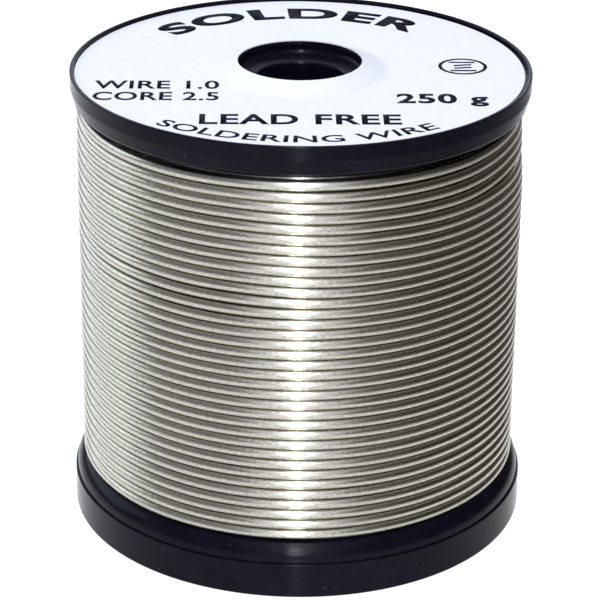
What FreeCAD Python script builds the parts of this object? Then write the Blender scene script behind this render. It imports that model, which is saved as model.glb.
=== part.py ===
import FreeCAD, Part
import math
import os

os.makedirs("parts", exist_ok=True)

# A spool of solder wire, standing on its lower flange. The origin is the centre of the
# lower rim, +Z runs up the spindle axis, and every length is in millimetres.

# Driving dimensions
total_height = 45.0            # lower rim to upper rim
upper_flange_radius = 21.9
lower_flange_extra = 0.4       # the lower flange is this much larger in radius
upper_flange_thickness = 3.1   # inner face to the top of the rim
lower_flange_thickness = 5.5   # rim to inner face
bore_radius = 4.2              # turns freely on an 8 mm spindle
barrel_radius = 6.9            # the wire is wound on this
wire_diameter = 1.0
wound_overhang = 0.5           # how far the upper flange stands past the full winding
turn_gap = 0.02                # least air between one turn and the next
layer_nesting = 0.1            # most that a layer sinks into the grooves below it

# Upper flange
rim_lip_width = 0.4            # raised ring around the label
rim_lip_height = 0.5           # above the recess at the rim
hub_rise = 0.9                 # the recess floor rises by this much around the mouth
hub_rise_radius = 8.3          # and is flat outside this radius
hub_foot_round = 2.0
mouth_radius = 5.95            # counterbore above the spindle bore
mouth_depth = 1.0
ledge_drop = 0.5               # slope of the counterbore's floor
spigot_length = 6.0            # reaches down into the barrel
upper_corner_start = 1.4       # height below the rim where the wall starts to lean in
upper_corner_lean = 0.3        # how far the wall has leaned in at the corner
upper_corner_height = 0.55     # height of the leaning wall's foot above the inner face
upper_corner_round = 0.75
upper_corner_foot_round = 0.275
upper_wall_round = 0.55
lip_round = 0.13
mouth_edge_round = 0.15
mouth_foot_round = 0.4
spigot_bore_round = 0.2        # shares of the spigot's wall
spigot_tip_round = 0.28

# Lower flange and barrel
band_height = 3.5              # plain upright band at the foot
band_step = 0.2                # the band stands this far out from the shoulder
shoulder_round = 1.75
band_round = 0.2
band_top_round = 0.08
skirt_edge_round = 0.3
web_round = 0.5                # between the skirt and the web
skirt_wall = 1.8
web_thickness = 1.9
barrel_wall = 1.2
collar_wall = 1.2              # bearing collar around the bore
collar_foot = 0.4              # gap between the collar and the table
collar_top = 8.0               # measured from the table
collar_edge_round = 0.25
collar_foot_round = 0.4        # between the collar and the web
rib_count = 8
rib_thickness = 1.2
rib_foot = 1.0                 # gap between the ribs and the table
start_bend_radius = 1.25       # bend of the wire's start under the web
start_tail = 6.0               # straight end after the bend
free_end_angle = 62.0          # the last end starts here, counted round from +X
free_end_sweep = 74.0          # and lies in the groove beside the last turn for this arc

# Label
label_thickness = 0.1
label_edge_gap = 0.2           # between the label and the lip
label_hole_cover = 0.05        # the label stands this far over the mouth
label_shift = 0.12             # stuck on slightly off centre
label_glue = 0.002             # adhesive under the label, where it lies closest

# Fits
socket_clearance = 0.05        # spigot in barrel
start_hole_clearance = 0.15    # around the wire's start
layer_clearance = 0.02         # between neighbouring layers
free_end_clearance = 0.02      # last end to the turn and the flange that it lies on
winding_foot_gap = 0.05        # lower flange to first turn
winding_head_gap = 0.405       # top turn to upper flange

# Worked out from the values above
lower_flange_radius = upper_flange_radius + lower_flange_extra
shoulder_radius = lower_flange_radius - band_step
upper_face = total_height - upper_flange_thickness
wound_radius = upper_flange_radius - wound_overhang
winding_foot = lower_flange_thickness + winding_foot_gap
winding_head = upper_face - winding_head_gap
turn_count = int((winding_head - winding_foot) / (wire_diameter + turn_gap))
turn_pitch = (winding_head - winding_foot) / turn_count
winding_depth = wound_radius - barrel_radius - wire_diameter
layer_count = 1 + int(winding_depth / (wire_diameter - layer_nesting) + 0.001)
layer_step = winding_depth / (layer_count - 1)
first_layer_radius = barrel_radius + wire_diameter / 2
recess_radius = upper_flange_radius - rim_lip_width
recess_floor = total_height - rim_lip_height
hub_floor = recess_floor + hub_rise
hub_slope = hub_rise / (hub_rise_radius - mouth_radius)
barrel_bore = barrel_radius - barrel_wall
collar_radius = bore_radius + collar_wall
spigot_radius = barrel_bore - socket_clearance
spigot_wall = spigot_radius - bore_radius
web_foot = lower_flange_thickness - web_thickness
skirt_inner_radius = lower_flange_radius - skirt_wall
start_angle = 180.0 / rib_count


def rounded_section(corners):
    """A closed face in the XZ plane. Each corner is (radius, height, rounding)."""
    points = [FreeCAD.Vector(r, 0, z) for r, z, rounding in corners]
    count = len(points)
    edges = []
    ends = []
    for i in range(count):
        here = points[i]
        rounding = corners[i][2]
        back = (points[i - 1] - here).normalize()
        ahead = (points[(i + 1) % count] - here).normalize()
        if rounding == 0:
            ends.append((here, here))
            continue
        half = back.getAngle(ahead) / 2
        run = rounding / math.tan(half)
        start = here + back * run
        end = here + ahead * run
        middle_way = (back + ahead).normalize()
        middle = here + middle_way * (rounding / math.sin(half) - rounding)
        edges.append(Part.Arc(start, middle, end).toShape())
        ends.append((start, end))
    for i in range(count):
        start = ends[i][1]
        end = ends[(i + 1) % count][0]
        edges.append(Part.LineSegment(start, end).toShape())
    return Part.Face(Part.Wire(Part.__sortEdges__(edges)))


def turned(face):
    return face.revolve(FreeCAD.Vector(0, 0, 0), FreeCAD.Vector(0, 0, 1), 360)


def tube(inner, outer, bottom, top):
    solid = Part.makeCylinder(outer, top - bottom, FreeCAD.Vector(0, 0, bottom))
    return solid.cut(Part.makeCylinder(inner, top - bottom, FreeCAD.Vector(0, 0, bottom)))


def upper_flange():
    """The upper moulding: flange, label recess, counterbored hub and the spigot below it."""
    lean_top = total_height - upper_corner_start
    foot_radius = upper_flange_radius - upper_corner_lean
    section = rounded_section([
        (bore_radius, upper_face - spigot_length, spigot_bore_round * spigot_wall),
        (spigot_radius, upper_face - spigot_length, spigot_tip_round * spigot_wall),
        (spigot_radius, upper_face, 0),
        (foot_radius, upper_face, upper_corner_round),
        (foot_radius, upper_face + upper_corner_height, upper_corner_foot_round),
        (upper_flange_radius, lean_top, upper_wall_round),
        (upper_flange_radius, total_height, lip_round),
        (recess_radius, total_height, lip_round),
        (recess_radius, recess_floor, 0),
        (hub_rise_radius, recess_floor, hub_foot_round),
        (mouth_radius, hub_floor, mouth_edge_round),
        (mouth_radius, hub_floor - mouth_depth, mouth_foot_round),
        (bore_radius, hub_floor - mouth_depth - ledge_drop, collar_edge_round),
    ])
    return turned(section)


def lower_flange():
    """The lower moulding: banded flange, barrel, bearing collar and the ribs under the web."""
    section = rounded_section([
        (bore_radius, collar_foot, collar_edge_round),
        (collar_radius, collar_foot, collar_edge_round),
        (collar_radius, web_foot, collar_foot_round),
        (skirt_inner_radius, web_foot, web_round),
        (skirt_inner_radius, 0, skirt_edge_round),
        (lower_flange_radius, 0, band_round),
        (lower_flange_radius, band_height, band_top_round),
        (shoulder_radius, band_height, 0),
        (shoulder_radius, lower_flange_thickness, shoulder_round),
        (barrel_radius, lower_flange_thickness, 0),
        (barrel_radius, upper_face, 0),
        (barrel_bore, upper_face, 0),
        (barrel_bore, collar_top, 0),
        (bore_radius, collar_top, collar_edge_round),
    ])
    body = turned(section)
    reach = skirt_inner_radius + skirt_wall / 2 - (bore_radius + collar_wall / 2)
    rib = Part.makeBox(reach, rib_thickness, web_foot - rib_foot + web_thickness / 2)
    rib.translate(FreeCAD.Vector(bore_radius + collar_wall / 2, -rib_thickness / 2, rib_foot))
    ribs = []
    for i in range(rib_count):
        one = rib.copy()
        one.rotate(FreeCAD.Vector(0, 0, 0), FreeCAD.Vector(0, 0, 1), i * 360.0 / rib_count)
        ribs.append(one)
    body = body.fuse(ribs).removeSplitter()
    hole = Part.makeCylinder(wire_diameter / 2 + start_hole_clearance, lower_flange_thickness,
                             FreeCAD.Vector(first_layer_radius, 0, web_foot - web_thickness / 2))
    hole.rotate(FreeCAD.Vector(0, 0, 0), FreeCAD.Vector(0, 0, 1), start_angle)
    barrel_keep = tube(barrel_bore, barrel_radius, lower_flange_thickness, upper_face)
    return body.cut(hole.cut(barrel_keep))


def top_label():
    """A round paper label with a centre hole, lying on the recess floor and up around the hub."""
    outer = recess_radius - label_edge_gap
    inner = mouth_radius - label_hole_cover
    foot = recess_floor + hub_slope * label_shift + label_glue
    crown = foot + hub_slope * (hub_rise_radius - inner)
    section = rounded_section([
        (inner, crown, 0),
        (hub_rise_radius, foot, hub_foot_round),
        (outer, foot, 0),
        (outer, foot + label_thickness, 0),
        (hub_rise_radius, foot + label_thickness, hub_foot_round),
        (inner, crown + label_thickness, 0),
    ])
    label = turned(section)
    label.translate(FreeCAD.Vector(-label_shift, 0, 0))
    return label


def wire_layer(number):
    """One layer of the winding, counted from the barrel, as the tube that its turns fill."""
    middle = first_layer_radius + (number - 1) * layer_step
    half = (layer_step - layer_clearance) / 2
    inner = barrel_radius + layer_clearance if number == 1 else middle - half
    return tube(inner, middle + half, winding_foot, winding_head)


def outer_layer():
    """The last layer, with each of its turns showing as a rounded ridge."""
    middle = wound_radius - wire_diameter / 2
    inner = middle - (layer_step - layer_clearance) / 2
    foot = winding_foot + (turn_pitch - wire_diameter) / 2
    here = FreeCAD.Vector(inner, 0, foot)
    edges = []
    for turn in range(turn_count):
        low = foot + turn * turn_pitch
        start = FreeCAD.Vector(middle, 0, low)
        crest = FreeCAD.Vector(wound_radius, 0, low + wire_diameter / 2)
        end = FreeCAD.Vector(middle, 0, low + wire_diameter)
        edges.append(Part.LineSegment(here, start).toShape())
        edges.append(Part.Arc(start, crest, end).toShape())
        here = end
    head = FreeCAD.Vector(inner, 0, here.z)
    edges.append(Part.LineSegment(here, head).toShape())
    edges.append(Part.LineSegment(head, FreeCAD.Vector(inner, 0, foot)).toShape())
    return turned(Part.Face(Part.Wire(edges)))


def wire_start():
    """The first end of the wire: down through the web, bent outwards and left under it."""
    axis_x = first_layer_radius
    bend_top = web_foot - start_hole_clearance
    bend_foot = bend_top - start_bend_radius
    top = FreeCAD.Vector(axis_x, 0, winding_foot)
    bend_start = FreeCAD.Vector(axis_x, 0, bend_top)
    slant = start_bend_radius * math.sqrt(0.5)
    bend_middle = FreeCAD.Vector(axis_x + start_bend_radius - slant, 0, bend_top - slant)
    bend_end = FreeCAD.Vector(axis_x + start_bend_radius, 0, bend_foot)
    tip = FreeCAD.Vector(axis_x + start_bend_radius + start_tail, 0, bend_foot)
    path = Part.Wire([
        Part.LineSegment(top, bend_start).toShape(),
        Part.Arc(bend_start, bend_middle, bend_end).toShape(),
        Part.LineSegment(bend_end, tip).toShape(),
    ])
    ring = Part.Circle(top, FreeCAD.Vector(0, 0, -1), wire_diameter / 2).toShape()
    end = path.makePipeShell([Part.Wire([ring])], True, False)
    end.rotate(FreeCAD.Vector(0, 0, 0), FreeCAD.Vector(0, 0, 1), start_angle)
    return end


def wire_free_end():
    """The last end of the wire, lying in the groove between the last turn and the shoulder."""
    turn_x = wound_radius - wire_diameter / 2
    turn_z = winding_foot + turn_pitch / 2
    shoulder_x = shoulder_radius - shoulder_round
    shoulder_z = lower_flange_thickness - shoulder_round
    to_turn = wire_diameter + free_end_clearance
    to_shoulder = shoulder_round + wire_diameter / 2 + free_end_clearance
    apart = math.hypot(turn_x - shoulder_x, turn_z - shoulder_z)
    along = (apart ** 2 + to_shoulder ** 2 - to_turn ** 2) / (2 * apart)
    across = math.sqrt(to_shoulder ** 2 - along ** 2)
    way_x = (turn_x - shoulder_x) / apart
    way_z = (turn_z - shoulder_z) / apart
    x = shoulder_x + along * way_x + across * way_z
    z = shoulder_z + along * way_z - across * way_x
    ring = Part.Circle(FreeCAD.Vector(x, 0, z), FreeCAD.Vector(0, 1, 0), wire_diameter / 2).toShape()
    end = Part.Face(Part.Wire([ring])).revolve(FreeCAD.Vector(0, 0, 0), FreeCAD.Vector(0, 0, 1),
                                               free_end_sweep)
    end.rotate(FreeCAD.Vector(0, 0, 0), FreeCAD.Vector(0, 0, 1), free_end_angle)
    return end


def save(name, shape):
    solid = shape if shape.ShapeType == "Solid" else shape.Solids[0]
    print(name, "valid", solid.isValid(), "volume", round(solid.Volume, 2))
    solid.exportStep(os.path.join("parts", name + ".step"))


save("upper_flange", upper_flange())
save("lower_flange_and_barrel", lower_flange())
save("top_label", top_label())
save("wire_start_end", wire_start())
for layer in range(1, layer_count):
    save("wire_layer_%02d" % layer, wire_layer(layer))
save("wire_layer_%02d" % layer_count, outer_layer())
save("wire_free_end", wire_free_end())
print("turns", turn_count, "pitch", turn_pitch, "layers", layer_count, "step", layer_step)
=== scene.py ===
import math

import bpy
from mathutils import Matrix, Vector


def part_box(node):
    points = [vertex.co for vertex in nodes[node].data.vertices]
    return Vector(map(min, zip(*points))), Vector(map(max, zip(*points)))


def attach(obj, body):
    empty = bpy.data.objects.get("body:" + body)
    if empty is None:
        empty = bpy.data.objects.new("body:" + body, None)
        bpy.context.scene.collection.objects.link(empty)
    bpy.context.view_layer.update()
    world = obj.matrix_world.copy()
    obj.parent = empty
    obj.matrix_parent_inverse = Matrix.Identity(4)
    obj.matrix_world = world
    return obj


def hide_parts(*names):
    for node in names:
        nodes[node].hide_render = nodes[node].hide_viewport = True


# A full spool of solder wire. The lengths below are in metres, in the spool's own frame: the
# origin is the middle of the lower rim and +Z runs up the spindle axis. The front faces -Y.
# Angles around the winding are in degrees, counted from the front to the right.

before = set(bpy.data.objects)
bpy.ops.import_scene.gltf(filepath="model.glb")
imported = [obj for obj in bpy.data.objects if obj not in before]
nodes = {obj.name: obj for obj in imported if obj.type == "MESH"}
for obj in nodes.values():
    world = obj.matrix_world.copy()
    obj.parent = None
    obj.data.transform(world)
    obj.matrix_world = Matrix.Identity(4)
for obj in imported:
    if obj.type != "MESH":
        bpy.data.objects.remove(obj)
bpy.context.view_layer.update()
MM = 0.001

# Sizes that the frame gives
layer_names = sorted(name for name in nodes if name.startswith("wire_layer_"))
first_layer_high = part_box(layer_names[0])[1]
second_layer_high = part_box(layer_names[1])[1]
outer_low, outer_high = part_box(layer_names[-1])
first_end_low, first_end_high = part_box("wire_start_end")
last_end_low, last_end_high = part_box("wire_free_end")
label_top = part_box("top_label")[1].z

# The winding, with radii to the middle of the wire
wire_radius = (last_end_high.z - last_end_low.z) / 2
winding_foot = outer_low.z
winding_head = outer_high.z
level_room = winding_head - winding_foot - 2 * wire_radius
outer_radius = (outer_high.x - outer_low.x) / 2 - wire_radius
layer_step = second_layer_high.x - first_layer_high.x
first_radius = outer_radius - (len(layer_names) - 1) * layer_step
turns = round((winding_head - winding_foot) / (2 * wire_radius) - 0.5)

# Where things happen around the outer layer, all of it at the back
entry_angle = -200              # the wire comes up out of the layer below from here
entered_angle = -160            # and lies in the outer layer from here
entry_lift = 0.3 * MM           # it starts this much higher, close under the flange
crossing_start = 150            # each turn crosses to the next one from here
crossing_end = 210              # to here
last_angle = 134                # the last turn ends here and the last end begins
last_end_bend = 14              # degrees in which the last end gets into its groove
tip_angle = 226                 # the last end is cut off here

# The first end, under the lower flange
first_end_direction = math.radians(22.5)        # from +X towards +Y
first_end_bend = 1.25 * MM                      # radius of the bend
first_end_sway = 0.06 * MM

# Points in a turn and sides of the wire, where it is seen and inside the winding
seen_steps, seen_sides = 120, 16
inner_steps, inner_sides = 48, 8


def only(piece):
    bpy.ops.object.select_all(action="DESELECT")
    piece.select_set(True)
    bpy.context.view_layer.objects.active = piece


def ease(value, start, end):
    """0 before start, 1 after end and a smooth rise between them."""
    share = min(max((value - start) / (end - start), 0.0), 1.0)
    return share * share * (3 - 2 * share)


def bump(value, middle, width):
    return math.exp(-((value - middle) / width) ** 2)


def around(angle, radius, height):
    """A point of the winding."""
    turned = math.radians(angle)
    return (radius * math.sin(turned), -radius * math.cos(turned), height)


# ---------------------------------------------------------------- path of the wire

def spacing(turn):
    """Distance from one turn of the outer layer to the next one below, before it is scaled."""
    looser_top = 0.115 * math.exp(-(turn - 1) / 1.1)
    looser_foot = 0.035 * ease(turn, 26, 30)
    unevenness = 0.008 * math.sin(1.9 * turn)
    return 1.0 + looser_top + looser_foot + unevenness


def outer_turn_heights():
    steps = [spacing(turn) for turn in range(1, turns)]
    height = winding_head - wire_radius
    heights = [height]
    for step in steps:
        height -= step * level_room / sum(steps)
        heights.append(height)
    return heights


turn_heights = outer_turn_heights()


def level_of(turn, angle):
    """Height of a turn of the outer layer, apart from its crossing to the next one."""
    height = turn_heights[min(turn, turns) - 1]

    # The upper turns stand higher at the left and lie lower at the right.
    left_rise = 0.27 * MM * ease(turn, 0.4, 3.6) * (1 - ease(turn, 10.6, 14.4))
    right_sag = 0.16 * MM * ease(turn, 2, 5) * (1 - ease(turn, 8, 11))
    height += left_rise * (1 - ease(angle, -20, 14)) - right_sag * ease(angle, 14, 46)

    # No turn is quite level.
    sway = math.radians(angle) * 3 + 0.35 * turn
    height += 0.012 * MM * math.sin(sway) + 0.008 * MM * math.sin(2.3 * sway + 1.1)

    # Under the upper flange, the top turns climb: four at the right and two at the left.
    right_climb = (0.58 - 0.2 * math.exp(1 - turn)) * MM
    height += right_climb * (ease(angle, 42, 74) * (1 - ease(angle, 105, 150)) * (1 - ease(turn, 4, 5)))
    left_climb = 0.36 * MM
    height += left_climb * bump(angle, -84, 20) * (1 - ease(turn, 1, 3.2))
    return height


def reach_of(turn, angle):
    """Radius of a turn of the outer layer. The turns that climb at the right also lean inwards."""
    sway = math.radians(angle) * 2 + 0.5 * turn
    lean = (0.16 + 0.3 * math.exp(1 - turn)) * MM * bump(angle, 88, 24) * (1 - ease(turn, 4, 7))
    return outer_radius + 0.015 * MM * math.sin(sway) - lean


def outer_place(turn, angle):
    """Radius and height of the outer layer, with the crossing that ends each turn."""
    crossing = ease(angle, crossing_start, crossing_end)
    height = level_of(turn, angle)
    reach = reach_of(turn, angle)
    if crossing > 0:
        height += crossing * (level_of(turn + 1, angle - 360) - height)
        reach += crossing * (reach_of(turn + 1, angle - 360) - reach)
    return reach, height


def outer_layer_points():
    """The outer layer, from where the wire comes up out of the layer below to the last end."""
    points = []
    for step in range((turns + 1) * seen_steps):
        angle = entry_angle + step * 360 / seen_steps
        turn = max(1 + math.floor((angle + 360 - crossing_end) / 360), 1)
        angle -= 360 * (turn - 1)
        if turn == turns and angle >= last_angle:
            break
        reach, height = outer_place(turn, angle)
        if angle < crossing_end - 360:
            reach = outer_radius - layer_step * (1 - ease(angle, entry_angle, entered_angle))
        if turn == 1:
            height += entry_lift * (1 - ease(angle, -175, -120))
        points.append(around(angle, reach, height))
    points.append(around(last_angle, *outer_place(turns, last_angle)))
    return points


def inner_layer_points(number):
    """A layer inside the winding. Its level turns lie in the grooves of the layer below."""
    reach = first_radius + (number - 1) * layer_step
    pitch = level_room / (turns - 1)
    count = turns - (len(layer_names) - number) % 2
    middle = (winding_head + winding_foot) / 2
    upwards = 1 if number % 2 else -1
    points = []
    for step in range(count * inner_steps + 1):
        whole = min(step // inner_steps, count - 1)
        angle = (step - whole * inner_steps) * 360 / inner_steps
        level = whole
        if whole < count - 1:
            level += ease(angle, 300, 360)
        height = upwards * (level - (count - 1) / 2) * pitch
        points.append(around(angle + 180, reach, middle + height))
    return points


def last_end_points():
    """The last end, which leaves the last turn and lies in the groove beside it."""
    groove_reach = last_end_high.y - wire_radius
    groove_height = (last_end_low.z + last_end_high.z) / 2
    turn_reach, turn_height = outer_place(turns, last_angle)
    sweep = tip_angle - last_angle
    steps = int(sweep / 360 * seen_steps)
    points = []
    for step in range(steps + 1):
        angle = last_angle + step * sweep / steps
        over = ease(angle, last_angle, last_angle + last_end_bend)
        reach = turn_reach + over * (groove_reach - turn_reach)
        height = turn_height + over * (groove_height - turn_height)
        points.append(around(angle, reach, height))
    return points


def first_end_points():
    """The first end: down through the lower flange, bent outwards and straight under it."""
    outwards = Vector((math.cos(first_end_direction), math.sin(first_end_direction), 0))
    sideways = Vector((-outwards.y, outwards.x, 0))
    low = first_end_low.z + wire_radius
    corner = Vector((first_end_high.x, first_end_high.y, 0))
    tip_reach = corner.dot(outwards) - wire_radius * math.sin(2 * first_end_direction)
    bent_reach = first_radius + first_end_bend

    points = []
    for height in (first_end_high.z, low + 1.6 * first_end_bend):
        points.append(outwards * first_radius + Vector((0, 0, height)))
    for step in range(13):
        turned = math.radians(90 * step / 12)
        reach = first_radius + first_end_bend * (1 - math.cos(turned))
        height = low + first_end_bend * (1 - math.sin(turned))
        points.append(outwards * reach + Vector((0, 0, height)))
    for step in range(1, 13):
        share = step / 12
        reach = bent_reach + share * (tip_reach - bent_reach)
        sway = sideways * first_end_sway * math.sin(math.pi * share)
        points.append(outwards * reach + sway + Vector((0, 0, low)))
    return points


# ---------------------------------------------------------------- materials

def new_material(name):
    material = bpy.data.materials.new(name)
    material.use_nodes = True
    tree = material.node_tree
    shader = tree.nodes["Principled BSDF"]
    return material, tree, shader


def noise(tree, coords, scale, detail, stretch=None):
    """A noise pattern, on coordinates that may be stretched first."""
    if stretch:
        stretched = tree.nodes.new("ShaderNodeMapping")
        stretched.inputs["Scale"].default_value = stretch
        tree.links.new(coords, stretched.inputs["Vector"])
        coords = stretched.outputs["Vector"]
    pattern = tree.nodes.new("ShaderNodeTexNoise")
    pattern.inputs["Scale"].default_value = scale
    pattern.inputs["Detail"].default_value = detail
    tree.links.new(coords, pattern.inputs["Vector"])
    return pattern.outputs["Fac"]


def two_tones(tree, pattern, *tones):
    """A blend of two tones, each with the value of the pattern at which it is pure."""
    ramp = tree.nodes.new("ShaderNodeValToRGB")
    for stop, (position, color) in zip(ramp.color_ramp.elements, tones):
        stop.position = position
        stop.color = (*color, 1)
    tree.links.new(pattern, ramp.inputs["Fac"])
    return ramp.outputs["Color"]


def ranged(tree, value, span, result, smooth=False):
    """A value that goes through the result's span while the given one goes through its own."""
    scale = tree.nodes.new("ShaderNodeMapRange")
    if smooth:
        scale.interpolation_type = "SMOOTHSTEP"
    scale.inputs["From Min"].default_value = span[0]
    scale.inputs["From Max"].default_value = span[1]
    scale.inputs["To Min"].default_value = result[0]
    scale.inputs["To Max"].default_value = result[1]
    tree.links.new(value, scale.inputs["Value"])
    return scale.outputs["Result"]


def marked(tree, ground, mark, color):
    """The ground's colour with marks of another colour on it."""
    mix = tree.nodes.new("ShaderNodeMix")
    mix.data_type = "RGBA"
    mix.inputs["B"].default_value = (*color, 1)
    tree.links.new(mark, mix.inputs["Factor"])
    tree.links.new(ground, mix.inputs["A"])
    return mix.outputs["Result"]


def relief(tree, pattern, strength, depth):
    bumps = tree.nodes.new("ShaderNodeBump")
    bumps.inputs["Strength"].default_value = strength
    bumps.inputs["Distance"].default_value = depth
    tree.links.new(pattern, bumps.inputs["Height"])
    return bumps.outputs["Normal"]


def solder_wire():
    """Drawn tin wire: streaks along it, a lighter and a darker tone, and small nicks."""
    material, tree, shader = new_material("solder_wire")
    shader.inputs["Metallic"].default_value = 1.0
    shader.inputs["Anisotropic"].default_value = 0.8
    shader.inputs["Anisotropic Rotation"].default_value = 0.25
    tangent = tree.nodes.new("ShaderNodeTangent")
    tangent.direction_type = "RADIAL"
    tangent.axis = "Z"
    along = tree.nodes.new("ShaderNodeTexCoord").outputs["UV"]
    streaks = noise(tree, along, scale=1, detail=3, stretch=(2.6, 36, 1))
    patches = noise(tree, along, scale=1, detail=4, stretch=(0.12, 4, 1))
    nicks = noise(tree, along, scale=1, detail=2, stretch=(5, 14, 1))
    tin = two_tones(tree, streaks, (0.32, (0.37, 0.348, 0.292)), (0.68, (0.6, 0.58, 0.5)))
    nicked = marked(tree, tin, ranged(tree, nicks, (0.74, 0.8), (0, 1)), (0.92, 0.9, 0.84))
    rough = ranged(tree, patches, (0.3, 0.7), (0.17, 0.3))
    drawn = relief(tree, streaks, strength=0.4, depth=0.01 * MM)
    tree.links.new(tangent.outputs["Tangent"], shader.inputs["Tangent"])
    tree.links.new(nicked, shader.inputs["Base Color"])
    tree.links.new(rough, shader.inputs["Roughness"])
    tree.links.new(drawn, shader.inputs["Normal"])
    return material


def black_plastic():
    """Black moulded polystyrene with a satin gloss, flow marks, fine rub marks and some dust."""
    material, tree, shader = new_material("black_plastic")
    shader.inputs["IOR"].default_value = 1.17
    place = tree.nodes.new("ShaderNodeTexCoord").outputs["Object"]
    flow = noise(tree, place, scale=260, detail=5)
    rubs = noise(tree, place, scale=1, detail=6, stretch=(500, 500, 2600))
    dust = noise(tree, place, scale=3400, detail=1)
    black = two_tones(tree, flow, (0.35, (0.0028, 0.0025, 0.0062)), (0.75, (0.0052, 0.0047, 0.0105)))
    dusty = marked(tree, black, ranged(tree, dust, (0.74, 0.82), (0, 0.5)), (0.11, 0.11, 0.12))
    rough = ranged(tree, rubs, (0.3, 0.75), (0.13, 0.26))
    moulded = relief(tree, flow, strength=0.12, depth=0.03 * MM)
    tree.links.new(dusty, shader.inputs["Base Color"])
    tree.links.new(rough, shader.inputs["Roughness"])
    tree.links.new(moulded, shader.inputs["Normal"])
    return material


def label_paper():
    """Smooth coated paper, faintly mottled."""
    material, tree, shader = new_material("label_paper")
    shader.inputs["IOR"].default_value = 1.4
    place = tree.nodes.new("ShaderNodeTexCoord").outputs["Object"]
    mottle = noise(tree, place, scale=900, detail=4)
    white = two_tones(tree, mottle, (0.3, (0.64, 0.645, 0.67)), (0.7, (0.67, 0.675, 0.7)))
    tree.links.new(white, shader.inputs["Base Color"])
    tree.links.new(ranged(tree, mottle, (0, 1), (0.5, 0.65)), shader.inputs["Roughness"])
    return material


def label_ink():
    """Near-black print, a little uneven where it has sunk into the paper."""
    material, tree, shader = new_material("label_ink")
    shader.inputs["IOR"].default_value = 1.12
    shader.inputs["Roughness"].default_value = 0.6
    place = tree.nodes.new("ShaderNodeTexCoord").outputs["Object"]
    grain = noise(tree, place, scale=2500, detail=2)
    black = two_tones(tree, grain, (0.35, (0.0012, 0.0012, 0.0055)), (0.8, (0.004, 0.004, 0.012)))
    tree.links.new(black, shader.inputs["Base Color"])
    return material


def white_floor():
    """Glossy white, with painted light: a glow of its own that stands in for lamp light, strongest near
    the spool, fading with distance and painted darker towards the right.
    """
    material, tree, shader = new_material("white_floor")
    shader.inputs["Base Color"].default_value = (0.34, 0.34, 0.34, 1)
    shader.inputs["Roughness"].default_value = 0.12
    shader.inputs["IOR"].default_value = 1.5
    shader.inputs["Emission Color"].default_value = (1, 1, 1, 1)
    place = tree.nodes.new("ShaderNodeTexCoord").outputs["Object"]

    # Painted pool of light: the floor glows most around the spool and less further away.
    painted_pool_place = tree.nodes.new("ShaderNodeMapping")
    painted_pool_place.inputs["Location"].default_value = (0.1, -0.042, 0)
    painted_pool_place.inputs["Scale"].default_value = (1, 0.7, 1)
    tree.links.new(place, painted_pool_place.inputs["Vector"])
    distance = tree.nodes.new("ShaderNodeVectorMath")
    distance.operation = "LENGTH"
    tree.links.new(painted_pool_place.outputs["Vector"], distance.inputs[0])
    painted_light_pool = ranged(tree, distance.outputs["Value"], (0.16, 0.42), (0.82, 0.4), smooth=True)

    # Painted shade: the glow is dimmed towards the right, so the floor there is darker and the wire
    # reflects it darker.
    slant = tree.nodes.new("ShaderNodeMapping")
    slant.inputs["Rotation"].default_value = (0, 0, math.radians(6))
    tree.links.new(place, slant.inputs["Vector"])
    across = tree.nodes.new("ShaderNodeSeparateXYZ")
    tree.links.new(slant.outputs["Vector"], across.inputs["Vector"])
    painted_dim_right = ranged(tree, across.outputs["X"], (0.031, 0.07), (1, 0.12), smooth=True)

    # The painted glow, the pool times the dimming to the right, drives the floor's emission.
    painted_glow = tree.nodes.new("ShaderNodeMath")
    painted_glow.operation = "MULTIPLY"
    tree.links.new(painted_light_pool, painted_glow.inputs[0])
    tree.links.new(painted_dim_right, painted_glow.inputs[1])
    tree.links.new(painted_glow.outputs["Value"], shader.inputs["Emission Strength"])
    return material


tin_wire = solder_wire()
plastic = black_plastic()
paper = label_paper()
ink = label_ink()


# ---------------------------------------------------------------- mouldings, label and wire

def dress(name, material):
    mesh = nodes[name].data
    mesh.materials.clear()
    mesh.materials.append(material)


def wire_piece(name, points, sides):
    """A run of wire as a closed tube. Its UV map counts millimetres along the wire and turns around it."""
    curve = bpy.data.curves.new(name, "CURVE")
    curve.dimensions = "3D"
    curve.twist_mode = "Z_UP"
    curve.bevel_depth = wire_radius
    curve.bevel_resolution = sides // 2 - 2
    curve.use_fill_caps = True
    line = curve.splines.new("POLY")
    line.points.add(len(points) - 1)
    for point, place in zip(line.points, points):
        point.co = (*place, 1)
    piece = bpy.data.objects.new(name, curve)
    bpy.context.scene.collection.objects.link(piece)
    only(piece)
    bpy.ops.object.convert(target="MESH")
    piece = bpy.context.view_layer.objects.active
    bpy.ops.object.mode_set(mode="EDIT")
    bpy.ops.mesh.select_all(action="SELECT")
    bpy.ops.mesh.remove_doubles(threshold=0.0005 * MM)
    bpy.ops.mesh.normals_make_consistent(inside=False)
    bpy.ops.object.mode_set(mode="OBJECT")
    bpy.ops.object.shade_smooth_by_angle(angle=math.radians(50))
    length = sum(math.dist(here, there) for here, there in zip(points, points[1:]))
    map_points = piece.data.uv_layers.active.data
    spots = [0.0] * (2 * len(map_points))
    map_points.foreach_get("uv", spots)
    spots[0::2] = [spot * length / MM for spot in spots[0::2]]
    map_points.foreach_set("uv", spots)
    piece.data.materials.clear()
    piece.data.materials.append(tin_wire)
    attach(piece, "root")
    return piece


dress("upper_flange", plastic)
dress("lower_flange_and_barrel", plastic)
dress("top_label", paper)

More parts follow.
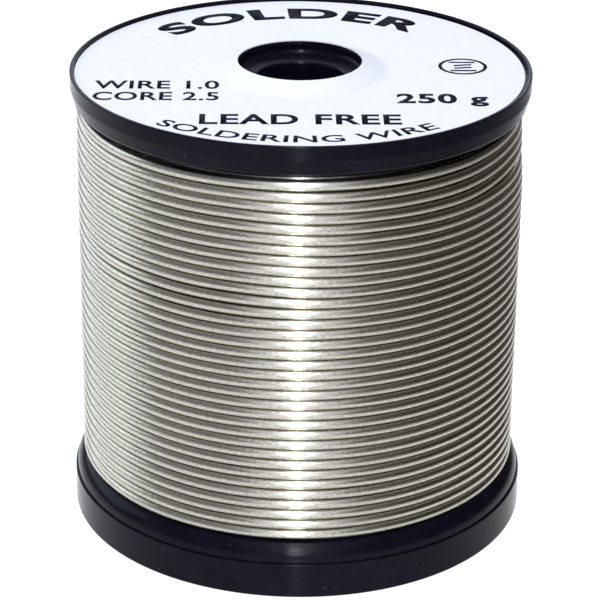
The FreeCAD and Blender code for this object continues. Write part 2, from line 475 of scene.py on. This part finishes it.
outer_layer = wire_piece("wire_outer_layer", outer_layer_points(), seen_sides)
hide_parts(layer_names[-1])
last_end = wire_piece("wire_last_end", last_end_points(), seen_sides)
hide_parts("wire_free_end")
for number, name in enumerate(layer_names[:-1], start=1):
    layer = wire_piece("wire_inner_layer_%02d" % number, inner_layer_points(number), inner_sides)
    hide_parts(name)
first_end = wire_piece("wire_first_end", first_end_points(), seen_sides)
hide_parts("wire_start_end")


# ---------------------------------------------------------------- print on the label

label_turn = math.radians(1.2)          # the label is turned by this, seen from above
capital_share = 0.682                   # height of a capital in a text of size 1
print_thickness = 0.012 * MM
print_gap = 0.004 * MM                  # keeps the print clear of the paper
badge_middle = (15.4 * MM, 0.9 * MM, 0)
badge_radius = 2.33 * MM
badge_line = 0.34 * MM


def lay_on_label(piece):
    """Turns a flat print with the label, lets it down onto the paper and gives it a thickness."""
    only(piece)
    bpy.ops.object.mode_set(mode="EDIT")
    bpy.ops.mesh.select_all(action="SELECT")
    bpy.ops.mesh.remove_doubles(threshold=0.001 * MM)
    bpy.ops.object.mode_set(mode="OBJECT")
    piece.data.transform(Matrix.Rotation(label_turn, 4, "Z"))
    piece.data.transform(Matrix.Translation((0, 0, label_top + MM)))
    fall = piece.modifiers.new("fall", "SHRINKWRAP")
    fall.wrap_method = "PROJECT"
    fall.use_project_z = True
    fall.use_negative_direction = True
    fall.use_positive_direction = False
    fall.target = nodes["top_label"]
    fall.offset = print_gap
    bpy.ops.object.modifier_apply(modifier=fall.name)
    body = piece.modifiers.new("body", "SOLIDIFY")
    body.thickness = print_thickness
    body.offset = 1
    bpy.ops.object.modifier_apply(modifier=body.name)
    piece.data.materials.clear()
    piece.data.materials.append(ink)
    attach(piece, "root")


def printed_words(name, words, capital, width, weight, place=(0, 0), bend_radius=0, arc_turn=0):
    """A line of print. A bend radius above 0 bends it up at both ends, and below 0 down."""
    bpy.ops.object.select_all(action="DESELECT")
    bpy.ops.object.text_add(location=(0, 0, 0))
    piece = bpy.context.view_layer.objects.active
    piece.name = name
    piece.data.body = words
    piece.data.size = 1
    piece.data.offset = weight
    piece.data.space_character = 1 + 3 * weight
    piece.data.resolution_u = 6
    bpy.ops.object.convert(target="MESH")
    piece = bpy.context.view_layer.objects.active
    piece.data.name = name
    spread = [vertex.co.x for vertex in piece.data.vertices]
    wide = width / (max(spread) - min(spread))
    tall = capital / capital_share
    piece.data.transform(Matrix.Translation((-(max(spread) + min(spread)) / 2, 0, 0)))
    piece.data.transform(Matrix.Diagonal((wide, tall, 1, 1)))
    if bend_radius:
        bend = piece.modifiers.new("bend", "SIMPLE_DEFORM")
        bend.deform_method = "BEND"
        bend.deform_axis = "Z"
        bend.angle = width / bend_radius
        bpy.ops.object.modifier_apply(modifier=bend.name)
        piece.data.transform(Matrix.Translation((0, -bend_radius, 0)))
        piece.data.transform(Matrix.Rotation(math.radians(arc_turn), 4, "Z"))
    piece.data.transform(Matrix.Translation((*place, 0)))
    lay_on_label(piece)


def print_badge():
    """A round badge with a small spool in it: two flanges and two slanting turns of wire."""
    bpy.ops.object.select_all(action="DESELECT")
    bpy.ops.mesh.primitive_circle_add(
        vertices=64, radius=badge_radius, fill_type="NGON", location=(0, 0, 0)
    )
    badge = bpy.context.view_layer.objects.active
    badge.name = "print_badge"
    bpy.ops.object.mode_set(mode="EDIT")
    bpy.ops.mesh.select_all(action="SELECT")
    bpy.ops.mesh.inset(thickness=badge_line)
    bpy.ops.mesh.delete(type="FACE")
    bpy.ops.object.mode_set(mode="OBJECT")
    flanges = [(height * MM, 2.5 * MM, 0) for height in (1.2, -1.2)]
    wires = [(height * MM, 1.7 * MM, 10) for height in (-0.38, 0.38)]
    strokes = [badge]
    for height, length, slant in flanges + wires:
        bpy.ops.mesh.primitive_plane_add(size=1, location=(0, 0, 0))
        bar = bpy.context.view_layer.objects.active
        shape = Matrix.Translation((0, height, 0)) @ Matrix.Rotation(math.radians(slant), 4, "Z")
        bar.data.transform(shape @ Matrix.Diagonal((length, badge_line, 1, 1)))
        strokes.append(bar)
    for stroke in strokes:
        stroke.select_set(True)
    bpy.context.view_layer.objects.active = badge
    bpy.ops.object.join()
    badge.data.transform(Matrix.Translation(badge_middle))
    lay_on_label(badge)


printed_words(
    "print_top_word", "SOLDER",
    capital=2.95 * MM, width=25.8 * MM, weight=0.045, bend_radius=-15.7 * MM, arc_turn=2.9
)
printed_words(
    "print_left_line_1", "WIRE 1.0",
    capital=2.1 * MM, width=11.6 * MM, weight=0.019, place=(-13.5 * MM, -5.64 * MM)
)
printed_words(
    "print_left_line_2", "CORE 2.5",
    capital=2.1 * MM, width=11.6 * MM, weight=0.019, place=(-13.5 * MM, -8.81 * MM)
)
printed_words(
    "print_net_mass", "250 g",
    capital=2.35 * MM, width=8.4 * MM, weight=0.034, place=(12.85 * MM, -9.4 * MM)
)
printed_words(
    "print_front_word", "LEAD FREE",
    capital=2.45 * MM, width=18.2 * MM, weight=0.026, place=(-0.3 * MM, -15.1 * MM)
)
printed_words(
    "print_edge_words", "SOLDERING WIRE",
    capital=1.6 * MM, width=27.2 * MM, weight=0.016, place=(0, 2.25 * MM),
    bend_radius=22 * MM, arc_turn=-1.9
)
print_badge()


# ---------------------------------------------------------------- floor, lights and camera

floor_size = 3
spool_middle = (0, 0, 0.022)
cool_tint = (0.95, 0.98, 1.12)
warm_tint = (1, 0.93, 0.8)
surroundings_left = (0.34, 0.37, 0.43, 1)
surroundings_right = (0.03, 0.024, 0.016, 1)
surroundings_between = [
    (0.15, 0.27, cool_tint), (0.29, 0.27, cool_tint), (0.345, 0.85, cool_tint),
    (0.44, 1.35, cool_tint), (0.56, 1.35, cool_tint), (0.66, 0.85, cool_tint),
    (0.72, 0.2, warm_tint), (0.8, 0.13, warm_tint), (0.88, 0.06, warm_tint),
]
camera_place = (0.00012, -0.23236, 0.12424)
camera_roll = 0.01
looking_down = math.radians(24.02)
lens = 154.89
sensor_width = 36

bpy.ops.mesh.primitive_plane_add(size=floor_size, location=(0, 0, 0))
floor = bpy.context.view_layer.objects.active
floor.name = "floor"
floor.data.materials.append(white_floor())


def area_light(name, place, size, power, color):
    """A lamp that points at the middle of the spool."""
    light = bpy.data.lights.new(name, "AREA")
    light.shape = "RECTANGLE"
    light.size, light.size_y = size
    light.energy = power
    light.color = color
    lamp = bpy.data.objects.new(name, light)
    lamp.location = place
    lamp.rotation_euler = (Vector(spool_middle) - Vector(place)).to_track_quat("-Z", "Y").to_euler()
    bpy.context.scene.collection.objects.link(lamp)


def studio():
    """Surroundings that are bright in the middle, grey at the left and dark brown at the right."""
    world = bpy.data.worlds.new("studio")
    world.use_nodes = True
    tree = world.node_tree
    direction = tree.nodes.new("ShaderNodeTexCoord").outputs["Generated"]
    split = tree.nodes.new("ShaderNodeSeparateXYZ")
    shade = tree.nodes.new("ShaderNodeValToRGB")
    shade.color_ramp.elements[0].color = surroundings_left
    shade.color_ramp.elements[1].color = surroundings_right
    for position, level, tint in surroundings_between:
        stop = shade.color_ramp.elements.new(position)
        stop.color = (*(level * part for part in tint), 1)
    tree.links.new(direction, split.inputs["Vector"])
    tree.links.new(ranged(tree, split.outputs["X"], (-1, 1), (0, 1)), shade.inputs["Fac"])
    tree.links.new(shade.outputs["Color"], tree.nodes["Background"].inputs["Color"])
    return world


area_light("front_strip", (0, -0.55, 0.36), size=(0.03, 0.62), power=2.6, color=(0.88, 0.92, 1.0))
area_light("overhead_strip", (0, -0.05, 0.75), size=(0.035, 0.8), power=2.6, color=(0.9, 0.93, 1.0))
area_light("left_panel", (-0.38, 0.26, 0.26), size=(0.56, 0.3), power=0.95, color=(0.78, 0.9, 1.0))
bpy.context.scene.world = studio()

camera_data = bpy.data.cameras.new("camera")
camera_data.lens = lens
camera_data.sensor_width = sensor_width
camera = bpy.data.objects.new("camera", camera_data)
bpy.context.scene.collection.objects.link(camera)
camera.matrix_world = (
    Matrix.Translation(camera_place)
    @ Matrix.Rotation(math.pi / 2 - looking_down, 4, "X")
    @ Matrix.Rotation(camera_roll, 4, "Z")
)
bpy.context.scene.camera = camera
bpy.context.scene.view_settings.view_transform = "Standard"
